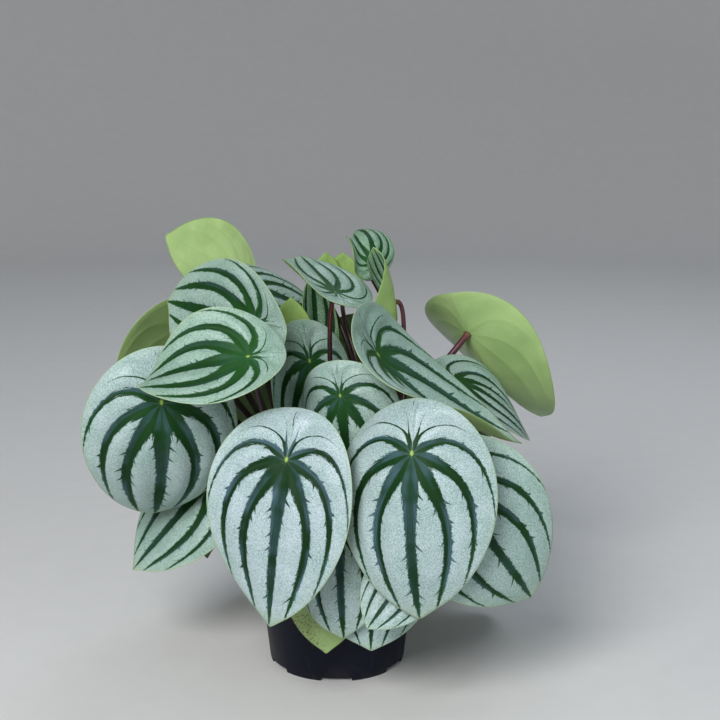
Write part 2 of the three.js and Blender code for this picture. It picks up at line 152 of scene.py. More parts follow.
# One row for each leaf: name, joint, (heading, pitch, roll), (length, width),
# (droop, cup, twist, fold, lip), (root bearing, root radius, rise, lean, side,
# reach) of its stalk and, where the edge is wavy, (wave height, waves, phase).
# Heading 0 points the tip at the viewer and 90 to the right, pitch turns the tip
# down and roll turns the blade about its middle vein. Angles are in degrees, and
# a bend that a row leaves out is 0.
LEAVES = (
    ("leaf_01", (-23, -94, 143), (-30, 68, -13), (111, 75), (35, 6, -5, -5),
     (-120, 12, 40, 55, 10, 8), (3, 3, 124)),
    ("leaf_02", (38, -107, 150), (-12, 70, 7), (114, 84), (42, 27, 0, 5),
     (-10, 16, 100, 45, -20, 25), (2.4, 2, 322)),
    ("leaf_03", (58, -91, 127), (60, 46, 57), (104, 79), (62, 8, 6, 1),
     (-40, 4, 15, 30, -5, 20), (1, 3, 137)),
    ("leaf_04", (-88, -62, 164), (1, 92, -14), (117, 83), (61, 22, -5, -2),
     (-160, 16, 75, 30, -40, 20), (2.2, 2, 56)),
    ("leaf_05", (-42, -82, 192), (-90, 8, -45), (77, 53), (23, -24, -9, -2, 1),
     (-180, 16, 55, 20, 40, 13), (4, 3, 184)),
    ("leaf_06", (-41, -38, 201), (-127, -3, -86), (86, 60), (5, 1, -24, -14, -10),
     (-160, 8, 95, 45, -30, 25), (1.5, 3, 335)),
    ("leaf_07", (-57, 65, 208), (-129, -20, 84), (76, 53), (8, 9, -10, -3),
     (170, 16, 105, 50, -15, 20), (3, 2, 231)),
    ("leaf_08", (-91, 35, 181), (-124, 65, 15), (107, 84), (24, 5, 17, 6, 6),
     (130, 4, 65, 55, 30, 5)),
    ("leaf_09", (-50, 20, 209), (111, 15, 35), (74, 52), (26, 19), (160, 4, 110, 50, -5, 10)),
    ("leaf_10", (0, -31, 215), (-154, -19, 15), (59, 51), (4, -5, 9, 0, -7),
     (-70, 16, 20, 20, -10, 20)),
    ("leaf_11", (-14, -24, 177), (23, 69, -11), (94, 59), (29, 23, 10, -5, 9),
     (-130, 4, 60, 10, 0, 15)),
    ("leaf_12", (3, -60, 167), (43, 81, 63), (74, 62), (9, 50, -2, 2), (-30, 4, 55, 50, -25, 15)),
    ("leaf_13", (22, -50, 186), (94, 54, 19), (114, 76), (-50, -23, 24, -6),
     (90, 16, 70, -45, -15, 80), (3.4, 3, 259)),
    ("leaf_14", (65, 6, 159), (86, 16, 13), (73, 66), (46, 2, 12, 1, -4),
     (-40, 2, 15, 10, 10, 8), (0.3, 3, 157)),
    ("leaf_15", (75, 43, 178), (128, 59, -12), (116, 80), (-31, -2, -25, -17),
     (60, 6, 60, 45, -20, 8), (1.8, 3, 29)),
    ("leaf_16", (-66, -5, 109), (-78, 46, -32), (92, 71), (5, 12, 0, -1, -4),
     (120, 16, 15, 0, 30, 8), (1.3, 3, 173)),
    ("leaf_17", (2, -78, 105), (6, 76, 9), (84, 54), (30, 32),
     (-110, 4, 10, 10, 5, 55), (2, 3, 287)),
    ("leaf_18", (-5, -57, 79), (181, 91, -1), (68, 46), (2, 14, 1),
     (-50, 10, 40, 75, -5, 10), (0.6, 2, 244)),
    ("leaf_19", (19, -69, 85), (-2, 86, -4), (68, 72), (6, 24),
     (-80, 4, 55, 40, 15, 20), (1, 3, 202)),
    ("leaf_20", (39, -90, 85), (-57, 43, -42), (48, 38), (14, 10), (-60, 2, 40, 95, 30, 13)),
    ("leaf_21", (-65, 61, 152), (-134, 55, -3), (98, 64), (25, 25), (170, 16, 70, 50, -45, 20)),
    ("leaf_22", (-40, 76, 166), (-155, 50, 0), (94, 62), (25, 25), (140, 4, 35, 30, -15, 8)),
    ("leaf_23", (17, 98, 147), (172, 61, -4), (96, 64), (25, 25), (50, 12, 30, 30, 20, 8)),
    ("leaf_24", (56, 72, 142), (138, 52, 0), (94, 62), (25, 25), (40, 4, 15, 20, 5, 8)),
    ("leaf_25", (80, 46, 124), (114, 60, 0), (92, 60), (25, 25), (60, 12, 15, 20, -15, 8)),
    ("leaf_26", (-44, 102, 90), (-155, 76, 0), (84, 56), (18, 25), (70, 4, 40, 45, 45, 20)),
    ("leaf_27", (8, 114, 80), (178, 78, 0), (80, 54), (18, 25), (30, 4, 45, 30, 50, 25)),
    ("leaf_28", (57, 98, 90), (144, 68, 2), (84, 56), (18, 25), (20, 8, 60, 25, -5, 30)),
    ("leaf_29", (86, 58, 68), (122, 72, 0), (76, 52), (18, 25), (40, 12, 60, 50, -20, 40)),
    ("leaf_30", (-66, 48, 98), (-118, 66, 0), (80, 54), (20, 25), (100, 4, 30, 30, 25, 10)),
    ("leaf_31", (9, 40, 180), (-176, 50, -6), (72, 49), (20, 20), (80, 10, 35, 10, 0, 15)),
    ("leaf_32", (-91, -9, 148), (-94, 58, -6), (78, 54), (25, 25), (150, 12, 65, 40, 15, 25)),
    ("leaf_33", (84, 8, 100), (92, 66, 0), (82, 56), (25, 25), (-10, 4, 30, 45, 15, 10)),
    ("young_leaf_1", (20, 24, 222), (153, -74, 59), (43, 32), (98, -20, 37, 30, -10),
     (-10, 16, 95, 50, 35, 30)),
    ("young_leaf_2", (32, 2, 204), (121, -102, -22), (43, 39), (-21, -2, -26, -12, 12),
     (-10, 16, 10, 16, -15, 12)),
    ("young_leaf_3", (-25, 3, 172), (8, -82, -2), (46, 28), (0, 30), (-150, 16, 65, 10, 5, 20)),
    ("young_leaf_4", (-11, 16, 174), (-150, -83, -4), (54, 28), (0, -75), (90, 12, 75, 20, 25, 15)),
    ("young_leaf_5", (-7, 38, 203), (10, -75, 0), (32, 20), (0, 20), (70, 12, 85, 5, -20, 25)),
    ("young_leaf_6", (4, 42, 202), (-7, -77, -1), (32, 24), (0, 20), (100, 12, 75, -15, -35, 50)),
)

# The stalk of this leaf bends round its neighbour through a point of its own.
NECKS = {"leaf_13": (-4, 30, 60)}

# Leaves whose bands differ: (breadth of the bands, size of the dark star round
# the joint, how green the bands are). The last number also greens and darkens the
# silver, and that darkening is partly painted shade for leaves that stand in shade.
LOOKS = {
    "leaf_01": (1, 0.9, 0), "leaf_02": (1, 1.1, 0.15), "leaf_03": (0.95, 1, 0.5),
    "leaf_04": (1.1, 1.3, 0.3), "leaf_05": (1.35, 1.9, 0.9), "leaf_06": (1.4, 1.2, 0.7),
    "leaf_09": (1.2, 1, 0.7), "leaf_10": (1, 0.9, 0.9), "leaf_11": (1, 1, 0.6),
    "leaf_12": (1.1, 1.3, 0.5), "leaf_13": (1.1, 0.8, 0.8), "leaf_14": (1.3, 1, 0.6),
    "leaf_16": (1.2, 1, 0.6), "leaf_20": (1, 1, 0.3),
}
PLAIN_LOOK = (1, 1, 0.2)
YOUNG_LOOK = (1.25, 1, 0.9)

# ---- blades

def blade_axes(facing):
    """The blade's directions at its joint: to the tip, out of its upper face, and across."""
    heading, pitch, roll = np.radians(facing)
    level = np.array([np.sin(heading), -np.cos(heading), 0])
    upright = np.array([0, 0, 1])
    along = level * np.cos(pitch) - upright * np.sin(pitch)
    flat = level * np.sin(pitch) + upright * np.cos(pitch)
    side = np.cross(along, flat)
    up = flat * np.cos(roll) + side * np.sin(roll)
    across = side * np.cos(roll) - flat * np.sin(roll)
    return along, up, across


def not_zero(value):
    least = 1e-6
    return value if abs(value) > least else least


def unit(vectors):
    return vectors / (np.linalg.norm(vectors, axis=-1, keepdims=True) + 1e-12)


def flat_blade(ring, turn, length, width):
    """Where a point of the blade lies when the blade is pressed flat: across and along."""
    point = TIP_POINT * np.exp(-(turn / TIP_POINT_SPREAD) ** 2)
    along = ring * length * (0.5 - JOINT_FROM_BASE + np.cos(turn) / 2 + point)
    fullness = np.abs(np.sin(turn / 2)) ** BASE_FULLNESS
    across = ring * width / 2 / OUTLINE_PEAK * np.sin(turn) * fullness
    return across, along


def blade_point(leaf, ring, turn):
    """The point of the blade's middle surface, for arrays of rings and turns."""
    _, joint, facing, (length, width), bends, _, *wavy = leaf
    droop, cup, twist, fold, lip = (*bends, 0, 0, 0)[:5]
    along, up, across = blade_axes(facing)
    u, v = flat_blade(ring, turn, length, width)
    tip_length = length * (1 - JOINT_FROM_BASE)
    bend = not_zero(math.radians(droop)) / tip_length
    curl = not_zero(math.radians(cup)) / (width / 2)
    angle = (bend * v)[..., None]
    turned = (math.radians(twist) * v / tip_length)[..., None]
    up_here = along * np.sin(angle) + up * np.cos(angle)
    across_here = across * np.cos(turned) + up_here * np.sin(turned)
    lift_here = up_here * np.cos(turned) - across * np.sin(turned)
    lift = -(1 - np.cos(curl * u)) / curl
    lift = lift - math.tan(math.radians(fold)) * (np.sqrt(u * u + 9) - 3)
    edge = (np.sign(lip) * u / (width / 2) - LIP_START) / (1 - LIP_START)
    lift = lift + abs(lip) * np.clip(edge, 0, 1.2) ** 2
    for height, waves, phase in wavy:
        lift = lift + height * ring ** 3 * np.sin(waves * turn + math.radians(phase))
    place = np.array(joint, float) + along * np.sin(angle) / bend - up * (1 - np.cos(angle)) / bend
    return place + across_here * (np.sin(curl * u) / curl)[..., None] + lift_here * lift[..., None]


def blade_normal(leaf, ring, turn):
    """The upper face's direction at each point."""
    step = 1e-3
    ring = np.maximum(ring, 0.02)
    outward = blade_point(leaf, ring + step, turn) - blade_point(leaf, ring - step, turn)
    onward = blade_point(leaf, ring, turn + step) - blade_point(leaf, ring, turn - step)
    normal = unit(np.cross(onward, outward))
    up = blade_axes(leaf[2])[1]
    return normal * np.sign((normal[1] @ up).mean())


def vein_bearing(bearing, ring):
    """Which way, at the joint, the vein set out that passes a place of the blade.

    Veins leave the joint like spokes and bend round towards the tip, more so the
    further out they are."""
    bend = VEIN_BEND * (1 - np.exp(-bearing / 15)) * (1 - (bearing / 180) ** 2.2)
    sharpness = 2.6 + 3 * np.exp(-bearing / 35)
    return bearing + bend * ring ** sharpness


def vein_turns(ring, bearings, length, width):
    """The turn round the outline at which veins of these first bearings cross a ring."""
    turns = np.linspace(0, np.pi, 1441)
    u, v = flat_blade(1.0, turns, length, width)
    here = np.degrees(np.arctan2(u, v))
    return np.interp(bearings, np.maximum.accumulate(vein_bearing(here, ring)), turns)


def column_bearings(columns):
    """First bearings of the mesh's columns on one half: even at three quarters of
    the way out, with every vein on a column of its own."""
    even = vein_bearing(np.linspace(0, 180, columns + 1), 0.75)
    even = even / even[-1] * VEIN_BEARINGS[-1]
    for bearing in VEIN_BEARINGS[1:-1]:
        even[np.argmin(abs(even - bearing))] = bearing
    return even


def smooth(low, high, value):
    share = np.clip((value - low) / (high - low), 0, 1)
    return share * share * (3 - 2 * share)


def blade_mesh(name, leaf, rings, columns, seed, look, upper, under):
    """A closed blade with its veins sunk into the upper face and raised on the
    underside, and the bands between them swollen. Its attributes carry the vein
    pattern to the materials."""
    length, width = leaf[3]
    scale = STANDARD_LENGTH / length
    half = column_bearings(columns)
    bearings = np.concatenate([half, half[-2:0:-1]])
    side = np.concatenate([np.ones(columns + 1), -np.ones(columns - 1)])
    across_count = len(bearings)
    shares = np.linspace(0, 1, rings + 1)[1:] ** 0.9
    turns = np.array([vein_turns(share, half, length, width) for share in shares])
    turns = np.concatenate([turns, -turns[:, -2:0:-1]], axis=1)
    ring = np.repeat(shares[:, None], across_count, axis=1)
    middle = blade_point(leaf, ring, turns)
    normal = blade_normal(leaf, ring, turns)
    number = np.repeat(np.interp(bearings, VEIN_BEARINGS, VEIN_NUMBERS)[None], len(shares), axis=0)

    # Width of one band, square to its veins
    along_vein = unit(np.gradient(middle, axis=0))
    step = np.roll(middle, -1, 1) - np.roll(middle, 1, 1)
    square = step - along_vein * (step * along_vein).sum(-1, keepdims=True)
    signed = number * side
    number_step = np.abs(np.roll(signed, -1, 1) - np.roll(signed, 1, 1))
    round_base = 2 * (VEIN_NUMBERS[-1] - np.roll(number, 1, 1))
    number_step = np.where(number_step > 2, round_base, number_step)
    band = np.linalg.norm(square, axis=-1) / np.maximum(number_step, 1e-6) * scale

    nearest = np.rint(number)
    away = np.abs(number - nearest) * band
    fade = smooth(0.08, 0.34, ring) * (1 - smooth(0.82, 0.98, ring)) * smooth(1, 5, band)
    depth = np.interp(nearest, range(6), VEIN_DEPTH) * fade / scale
    groove = depth * np.exp(-(away / VEIN_GROOVE) ** 2)
    swell = BAND_SWELL * np.sin(np.pi * np.minimum(number, 4.5)) ** 2 * np.minimum(band / 12, 1.2)
    swell = swell * smooth(0.05, 0.3, ring) * (1 - smooth(0.7, 1, ring)) / scale
    thick = EDGE_THICKNESS + (BLADE_THICKNESS - EDGE_THICKNESS) * (1 - smooth(0.9, 1, ring))
    top = middle + normal * (thick / 2 + swell - groove)[..., None]
    bottom = middle + normal * (-thick / 2 + 0.1 * swell - 0.5 * groove)[..., None]

    up = blade_axes(leaf[2])[1]
    joint = np.array(leaf[1], float)
    edge = middle[-1] + (middle[-1] - middle[-2]) * EDGE_REACH
    points = np.concatenate([
        [joint + up * BLADE_THICKNESS / 2, joint - up * BLADE_THICKNESS / 2],
        top.reshape(-1, 3), bottom.reshape(-1, 3), edge])

    rows = len(shares)
    index = np.arange(rows * across_count).reshape(rows, across_count)
    over = index + 2
    below = over + rows * across_count
    rim = np.arange(across_count) + 2 + 2 * rows * across_count
    faces = []

    def ahead(row):
        return np.roll(row, -1)

    def strips(outer, inner, flip):
        quads = np.stack([inner, outer, ahead(outer), ahead(inner)], 1)
        return (quads[:, ::-1] if flip else quads).tolist()

    faces += np.stack([np.zeros(across_count, int), over[0], ahead(over[0])], 1).tolist()
    for outer, inner in zip([*over[1:], rim], over):
        faces += strips(outer, inner, False)
    upper_faces = len(faces)
    faces += np.stack([np.ones(across_count, int), ahead(below[0]), below[0]], 1).tolist()
    for outer, inner in zip([*below[1:], rim], below):
        faces += strips(outer, inner, True)

    first = np.cross(points[faces[0][1]] - points[0], points[faces[0][2]] - points[0])
    if first @ up < 0:
        faces = [face[::-1] for face in faces]

    mesh = smooth_mesh(name, points, faces, upper, under)
    slots = np.zeros(len(faces), int)
    slots[upper_faces:] = 1
    mesh.polygons.foreach_set("material_index", slots)

    across, along = flat_blade(ring, turns, length, width)
    vein = np.stack([number, ring, band], -1).reshape(-1, 3)
    flat = np.stack([across * scale, along * scale, np.full_like(across, seed)], -1).reshape(-1, 3)
    last = slice(-across_count, None)
    give(mesh, "vein", np.concatenate([np.zeros((2, 3)), vein, vein, vein[last]]))
    give(mesh, "flat", np.concatenate([[(0, 0, seed)] * 2, flat, flat, flat[last]]))
    give(mesh, "look", np.full((len(points), 3), look, float))
    mesh.update()
    return mesh


def smooth_mesh(name, points, faces, *materials):
    """A mesh without sharp edges, from points in millimetres."""
    mesh = bpy.data.meshes.new(name)
    mesh.from_pydata((points * MM).tolist(), [], faces)
    for material in materials:
        mesh.materials.append(material)
    mesh.polygons.foreach_set("use_smooth", np.ones(len(faces), bool))
    return mesh


def give(mesh, name, values):
    """A vector at every point of the mesh, for its material."""
    layer = mesh.attributes.new(name, "FLOAT_VECTOR", "POINT")
    layer.data.foreach_set("vector", values.astype(np.float32).ravel())


def add_piece(name, mesh, slot, *nodes):
    """Puts a finished mesh into the scene in place of the frame's solids."""
    piece = in_scene(name, mesh)
    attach(piece, "root")
    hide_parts(*nodes)


# ---- stalks

def stalk_controls(leaf):
    """The four points of the curve that a stalk follows from the crown to its blade."""
    name, joint, facing, _, _, (bearing, radius, rise, lean, side, reach), *_ = leaf
    up = blade_axes(facing)[1]
    out = np.array([math.cos(math.radians(bearing)), math.sin(math.radians(bearing)), 0])
    round_about = np.array([-out[1], out[0], 0])
    root = out * radius + np.array([0, 0, STALK_ROOT_HEIGHT])
    shoulder = root + out * lean + round_about * side + np.array([0, 0, rise])
    end = np.array(joint, float) - up * STALK_END
    neck = np.array(NECKS[name], float) if name in NECKS else end - up * reach
    return root, shoulder, neck, end


def stalk_body(leaf, seed):
    """Points and faces of one closed stalk that thickens where it enters the blade."""
    root, shoulder, neck, end = stalk_controls(leaf)
    up = blade_axes(leaf[2])[1]
    share = np.linspace(0, 1, STALK_STEPS + 1)
    done = share[:, None]
    left = 1 - done
    middle = left ** 3 * root + 3 * left ** 2 * done * shoulder
    middle += 3 * left * done ** 2 * neck + done ** 3 * end
    tangent = unit(np.gradient(middle, axis=0))
    middle = np.vstack([middle, end + up * STALK_LAST_STEP])
    tangent = np.vstack([tangent, up])
    tangent[-2] = up
    share = np.append(share, 1)
    length = np.append(0, np.cumsum(np.linalg.norm(np.diff(middle, axis=0), axis=1)))
    size = max(STALK_LEAST_SIZE, min(1, leaf[3][0] / STALK_FULL_AT))
    radius = (STALK_RADIUS_ROOT + (STALK_RADIUS_BLADE - STALK_RADIUS_ROOT) * share) * size
    radius += STALK_FLARE * size * np.exp(-(length[-1] - length) / STALK_FLARE_LENGTH)
    radius += ROOT_FLARE * np.exp(-length / ROOT_FLARE_LENGTH)
    angles = np.linspace(0, 2 * np.pi, STALK_SIDES, endpoint=False)
    across = np.array([1.0, 0.0, 0.0])
    points = []
    for place, direction, r in zip(middle, tangent, radius):
        across = unit(across - direction * (across @ direction))
        third = np.cross(direction, across)
        wobble = 1 + 0.03 * np.sin(2 * angles + seed) + 0.02 * np.sin(3 * angles + place[2] * 0.2)
        points.append(place + (across * np.cos(angles)[:, None] + third * np.sin(angles)[:, None])
                      * (r * wobble)[:, None])
    points = np.concatenate(points + [middle[:1], middle[-1:]])
    index = np.arange(len(middle) * STALK_SIDES).reshape(-1, STALK_SIDES)
    ahead = np.roll(index, -1, axis=1)
    faces = np.stack([index[:-1], ahead[:-1], ahead[1:], index[1:]], -1).reshape(-1, 4).tolist()
    foot, head = np.full((2, STALK_SIDES), [[index.size], [index.size + 1]])
    faces += np.stack([foot, ahead[0], index[0]], 1).tolist()
    faces += np.stack([head, index[-1], ahead[-1]], 1).tolist()
    run = np.append(np.repeat(length, STALK_SIDES), [0, length[-1]])
    return points, faces, np.stack([run / length[-1], run, np.full(len(run), seed)], 1)


def stalks_mesh(leaves, skin):
    points, faces, facts = [], [], []
    start = 0
    for number, leaf in enumerate(leaves):
        some_points, some_faces, some_facts = stalk_body(leaf, number * STALK_SEED_STEP)
        points.append(some_points)
        facts.append(some_facts)
        faces += [tuple(start + i for i in face) for face in some_faces]
        start += len(some_points)
    mesh = smooth_mesh("stalks", np.concatenate(points), faces, skin)
    give(mesh, "stalk", np.concatenate(facts))
    mesh.update()
    return mesh


# ---- pot, soil and crown

def mesh_from(body, name, *materials):
    """A mesh from a body that isn't needed any more."""
    mesh = bpy.data.meshes.new(name)
    body.to_mesh(mesh)
    body.free()
    for material in materials:
        mesh.materials.append(material)
    return mesh


def in_scene(name, content):
    thing = bpy.data.objects.new(name, content)
    bpy.context.scene.collection.objects.link(thing)
    return thing


def lathe(profile, segments):
    """A closed body of revolution from (radius, height) pairs that run from the
    axis round the outside and back to the axis."""
    body = bmesh.new()
    angles = [2 * math.pi * k / segments for k in range(segments)]
    rows = []
    for radius, height in profile:
        places = [(radius * math.cos(a) * MM, radius * math.sin(a) * MM, height * MM)
                  for a in (angles if radius else [0])]
        rows.append([body.verts.new(place) for place in places])
    for low, high in zip(rows, rows[1:]):
        for k in range(segments):
            ahead = (k + 1) % segments
            corners = (low[k % len(low)], low[ahead % len(low)],
                       high[ahead % len(high)], high[k % len(high)])
            body.faces.new(list(dict.fromkeys(corners)))
    bmesh.ops.recalc_face_normals(body, faces=body.faces)
    return body


def rounded(profile, corners):
    """The profile with some of its corners cut to short arcs: {index: radius}."""
    out = []
    for i, here in enumerate(profile):
        radius = corners.get(i)
        if not radius:
            out.append(here)
            continue
        before, after = Vector(profile[i - 1]), Vector(profile[i + 1])
        corner = Vector(here)
        start = corner + (before - corner).normalized() * radius
        end = corner + (after - corner).normalized() * radius
        for k in range(5):
            t = k / 4
            out.append(tuple(start * (1 - t) ** 2 + corner * 2 * t * (1 - t) + end * t * t))
    return out


def wall_point(height, inset=0):
    """The (radius, height) of the pot's tapered wall, or of a place inside it."""
    slope = (POT_TOP_RADIUS - POT_BASE_RADIUS) / (POT_HEIGHT - POT_EDGE)
    return POT_BASE_RADIUS + slope * (height - POT_EDGE) - inset, height


def pot_mesh(plastic):
    """The pot: a tapered wall with a turned-down rim, a foot cut into arcs and
    drain holes in its floor."""
    rim_bottom = POT_HEIGHT - RIM_DEPTH
    profile = [
        (0, 0), (FOOT_DISC_RADIUS, 0),
        (FOOT_DISC_RADIUS + 1, FOOT_RECESS), (FOOT_RING_RADIUS, FOOT_RECESS),
        (FOOT_RING_RADIUS + 1, 0), (POT_BASE_RADIUS - 0.5, 0),
        (POT_BASE_RADIUS, POT_EDGE), wall_point(24), wall_point(50), wall_point(rim_bottom + 2),
        (RIM_RADIUS - POT_WALL, rim_bottom + 2), (RIM_RADIUS - POT_WALL, rim_bottom),
        (RIM_RADIUS, rim_bottom), (RIM_RADIUS, POT_HEIGHT),
        wall_point(POT_HEIGHT, 0.6), wall_point(POT_HEIGHT - 2, POT_WALL),
        wall_point(50, POT_WALL), wall_point(FLOOR_TOP + 1, POT_WALL),
        wall_point(FLOOR_TOP, POT_WALL + 1), (0, FLOOR_TOP),
    ]
    corners = {1: 0.4, 4: 0.4, 5: 0.25, 6: 0.8, 11: 0.4, 12: 0.5, 13: 0.9, 14: 0.5}
    pot = mesh_from(lathe(rounded(profile, corners), POT_SEGMENTS), "pot_body")
    cutters = bmesh.new()
    for i in range(NOTCH_COUNT):
        bearing = -math.pi / 2 + i * 2 * math.pi / NOTCH_COUNT
        notch = bmesh.ops.create_cube(cutters, size=1)["verts"]
        bmesh.ops.scale(cutters, vec=(14 * MM, NOTCH_WIDTH * MM, 2 * FOOT_RECESS * MM), verts=notch)
        bmesh.ops.translate(cutters, vec=((FOOT_RING_RADIUS + 6) * MM, 0, 0), verts=notch)
        turn_about_axis(notch, bearing)
        drain = bmesh.ops.create_cone(
            cutters, cap_ends=True, segments=32, radius1=DRAIN_RADIUS * MM,
            radius2=DRAIN_RADIUS * MM, depth=3 * FLOOR_TOP * MM)["verts"]
        bmesh.ops.translate(cutters, vec=(DRAIN_CIRCLE_RADIUS * MM, 0, 0), verts=drain)
        turn_about_axis(drain, bearing + math.pi / NOTCH_COUNT)
    cutter = in_scene("pot_openings", mesh_from(cutters, "pot_openings"))
    whole = in_scene("pot_whole", pot)
    cut = whole.modifiers.new("openings", "BOOLEAN")
    cut.object = cutter
    cut.operation = "DIFFERENCE"
    cut.solver = "EXACT"
    soften = whole.modifiers.new("edges", "BEVEL")
    soften.width = POT_ROUNDING
    soften.segments = 2
    soften.limit_method = "ANGLE"
    soften.angle_limit = math.radians(50)
    bpy.context.view_layer.update()
    mesh = finished(whole, "pot_body", plastic)
    for thing in (cutter, whole):
        bpy.data.objects.remove(thing)
    smooth_by_angle(mesh, 35)
    return mesh


def turn_about_axis(verts, angle):
    cosine, sine = math.cos(angle), math.sin(angle)
    for vert in verts:
        x, y, z = vert.co
        vert.co = (x * cosine - y * sine, x * sine + y * cosine, z)


def finished(thing, name, material):
    """The object's mesh with its modifiers applied."""
    shown = thing.evaluated_get(bpy.context.evaluated_depsgraph_get())
    mesh = bpy.data.meshes.new_from_object(shown)
    mesh.name = name
    mesh.materials.clear()
    mesh.materials.append(material)
    return mesh


def smooth_by_angle(mesh, angle):
    """Smooth shading, with an edge kept where faces meet more sharply than the angle."""
    body = bmesh.new()
    body.from_mesh(mesh)
    for face in body.faces:
        face.smooth = True
    for edge in body.edges:
        edge.smooth = len(edge.link_faces) == 2 and edge.calc_face_angle() < math.radians(angle)
    body.to_mesh(mesh)
    body.free()


def soil_height(x, y):
    """The soil's surface: low mounds, lumps and grit."""
    mounds = noise.noise(Vector((x * 0.07, y * 0.07, 3.1))) * 2.2
    lumps = noise.noise(Vector((x * 0.25, y * 0.25, 8.7))) * 1.1
    grit = noise.noise(Vector((x * 0.9, y * 0.9, 5.2))) * 0.5
    return SOIL_TOP + mounds + lumps + grit


def soil_mesh(peat):
    """The soil: a plug that fills the pot, with a plain hole for the crown."""
    inset = POT_WALL + SOIL_GAP
    hole = CROWN_RADIUS + SOIL_GAP
    steps = 26
    profile = [
        (0, FLOOR_TOP + SOIL_GAP),
        (wall_point(FLOOR_TOP, inset + 2)[0], FLOOR_TOP + SOIL_GAP),
        *(wall_point(height, inset) for height in (FLOOR_TOP + 2, 40, SOIL_TOP - 3)),
    ]
    outer = profile[-1][0] - 0.4
    profile += [(outer + (hole - outer) * k / steps, SOIL_TOP) for k in range(steps + 1)]
    profile += [(hole, CROWN_BOTTOM - SOIL_GAP), (0, CROWN_BOTTOM - SOIL_GAP)]
    body = lathe(profile, SOIL_SEGMENTS)
    for vert in body.verts:
        x, y, z = vert.co / MM
        if z > SOIL_TOP - 0.5:
            vert.co.z = soil_height(x, y) * MM
    mesh = mesh_from(body, "soil_bed", peat)
    smooth_by_angle(mesh, 60)
    return mesh


def crown_mesh(bark):
    """The short, knobby crown that the stalks grow from."""
    profile = [
        (0, CROWN_BOTTOM), (CROWN_RADIUS - 3, CROWN_BOTTOM),
        (CROWN_RADIUS, CROWN_BOTTOM + 4), (CROWN_RADIUS, SOIL_TOP - 4),
        (CROWN_RADIUS - 0.5, SOIL_TOP), (CROWN_RADIUS - 2.5, SOIL_TOP + 3),
        (CROWN_RADIUS - 6, SOIL_TOP + 5), (CROWN_RADIUS - 10, SOIL_TOP + 6.5),
        (CROWN_RADIUS - 15, SOIL_TOP + 7.3), (0, CROWN_TOP - 0.6),
    ]
    body = lathe(profile, CROWN_SEGMENTS)
    bmesh.ops.subdivide_edges(body, edges=body.edges, cuts=1, use_grid_fill=True)
    for vert in body.verts:
        x, y, z = vert.co / MM
        if z > SOIL_TOP - 2:
            knobs = noise.noise(Vector((x * 0.35, y * 0.35, z * 0.35))) * 1.5
            vert.co *= 1 + (knobs - 0.7) / 90
    mesh = mesh_from(body, "crown", bark)
    smooth_by_angle(mesh, 70)
    return mesh


def crumbs_mesh(bed, crumb):
    """Crumbs of peat and bark, strewn over the open soil."""
    tree = bpy.data.node_groups.new("strewn_crumbs", "GeometryNodeTree")
    tree.interface.new_socket("Bed", in_out="INPUT", socket_type="NodeSocketGeometry")
    tree.interface.new_socket("Crumbs", in_out="OUTPUT", socket_type="NodeSocketGeometry")

    def add(kind, inputs=None, **settings):
        node = tree.nodes.new(kind)
        for key, value in settings.items():
            setattr(node, key, value)
        for key, value in (inputs or {}).items():
            node.inputs[key].default_value = value
        return node

    given = add("NodeGroupInput")
    spread = add("GeometryNodeDistributePointsOnFaces",
                 {"Density": CRUMB_DENSITY, "Seed": CRUMB_SEED})
    grain = add("GeometryNodeMeshIcoSphere", {"Radius": 1 * MM, "Subdivisions": 2})
    spin = add("FunctionNodeRandomValue", {"Max": (6.28, 6.28, 6.28)}, data_type="FLOAT_VECTOR")
    size = add("FunctionNodeRandomValue", {"Min": CRUMB_SMALLEST, "Max": CRUMB_LARGEST},
               data_type="FLOAT")
    squash = add("FunctionNodeRandomValue", {"Min": (0.5, 0.5, 0.35), "Max": (1.3, 1.0, 0.7)},
                 data_type="FLOAT_VECTOR")
    scaled = add("ShaderNodeVectorMath", operation="SCALE")
    place = add("GeometryNodeInstanceOnPoints")
    real = add("GeometryNodeRealizeInstances")
    rough = add("ShaderNodeTexNoise", {"Scale": 900})
    lift = add("ShaderNodeVectorMath", {1: (0.5, 0.5, 0.5)}, operation="SUBTRACT")
    push = add("ShaderNodeVectorMath", {"Scale": CRUMB_ROUGHNESS}, operation="SCALE")
    move = add("GeometryNodeSetPosition")
    out = add("NodeGroupOutput")
    links = (
        (given, "Bed", spread, "Mesh"), (size, "Value", scaled, "Scale"),
        (squash, "Value", scaled, 0), (spread, "Points", place, "Points"),
        (grain, "Mesh", place, "Instance"), (spin, "Value", place, "Rotation"),
        (scaled, "Vector", place, "Scale"), (place, "Instances", real, "Geometry"),
        (rough, "Color", lift, 0), (lift, "Vector", push, 0),
        (real, "Geometry", move, "Geometry"), (push, "Vector", move, "Offset"),
        (move, "Geometry", out, "Crumbs"),
    )
    for source, output, target, entry in links:
        tree.links.new(source.outputs[output], target.inputs[entry])

    strewn = in_scene("strewn", open_soil(bed))
    strewn.modifiers.new("crumbs", "NODES").node_group = tree
    bpy.context.view_layer.update()
    mesh = finished(strewn, "soil_crumbs", crumb)
    bpy.data.objects.remove(strewn)
    mesh.polygons.foreach_set("use_smooth", np.zeros(len(mesh.polygons), bool))
    return mesh


def open_soil(bed):
    """The top faces of the soil alone."""
    body = bmesh.new()
    body.from_mesh(bed)
    hidden = [face for face in body.faces
              if face.normal.z < 0.4 or face.calc_center_median().z < (SOIL_TOP - 4) * MM]
    bmesh.ops.delete(body, geom=hidden, context="FACES")
    return mesh_from(body, "open_soil")


# ---- finishes

